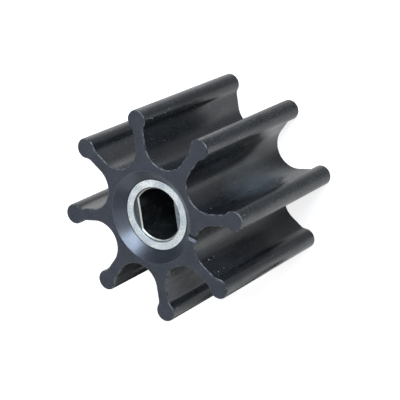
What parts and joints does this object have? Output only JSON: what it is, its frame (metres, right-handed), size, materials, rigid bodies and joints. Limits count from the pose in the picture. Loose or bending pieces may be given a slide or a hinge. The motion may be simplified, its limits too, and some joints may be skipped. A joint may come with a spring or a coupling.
{
  "type": "rubber pump impeller",
  "caption": "Flexible pump impeller: bead-tipped rubber vanes on a rubber hub, moulded round a recessed metal bush with a double-flat drive bore.",
  "frame": {"origin": "on the axis, in the plane of the back end face that the impeller stands on", "axes": "+Z along the axis, from the back end towards the front end with the notch; one vane points along +Y, and the flats of the bore face +X and -X"},
  "size_m": [0.065, 0.065, 0.05],
  "materials": {
    "vane_rubber": "satin moulded rubber, dark blue-grey",
    "bush_metal": "satin, turned face"
  },
  "bodies": {
    "root": {"vane_body": "vane_rubber", "hub_bush": "bush_metal"}
  },
  "joints": []
}
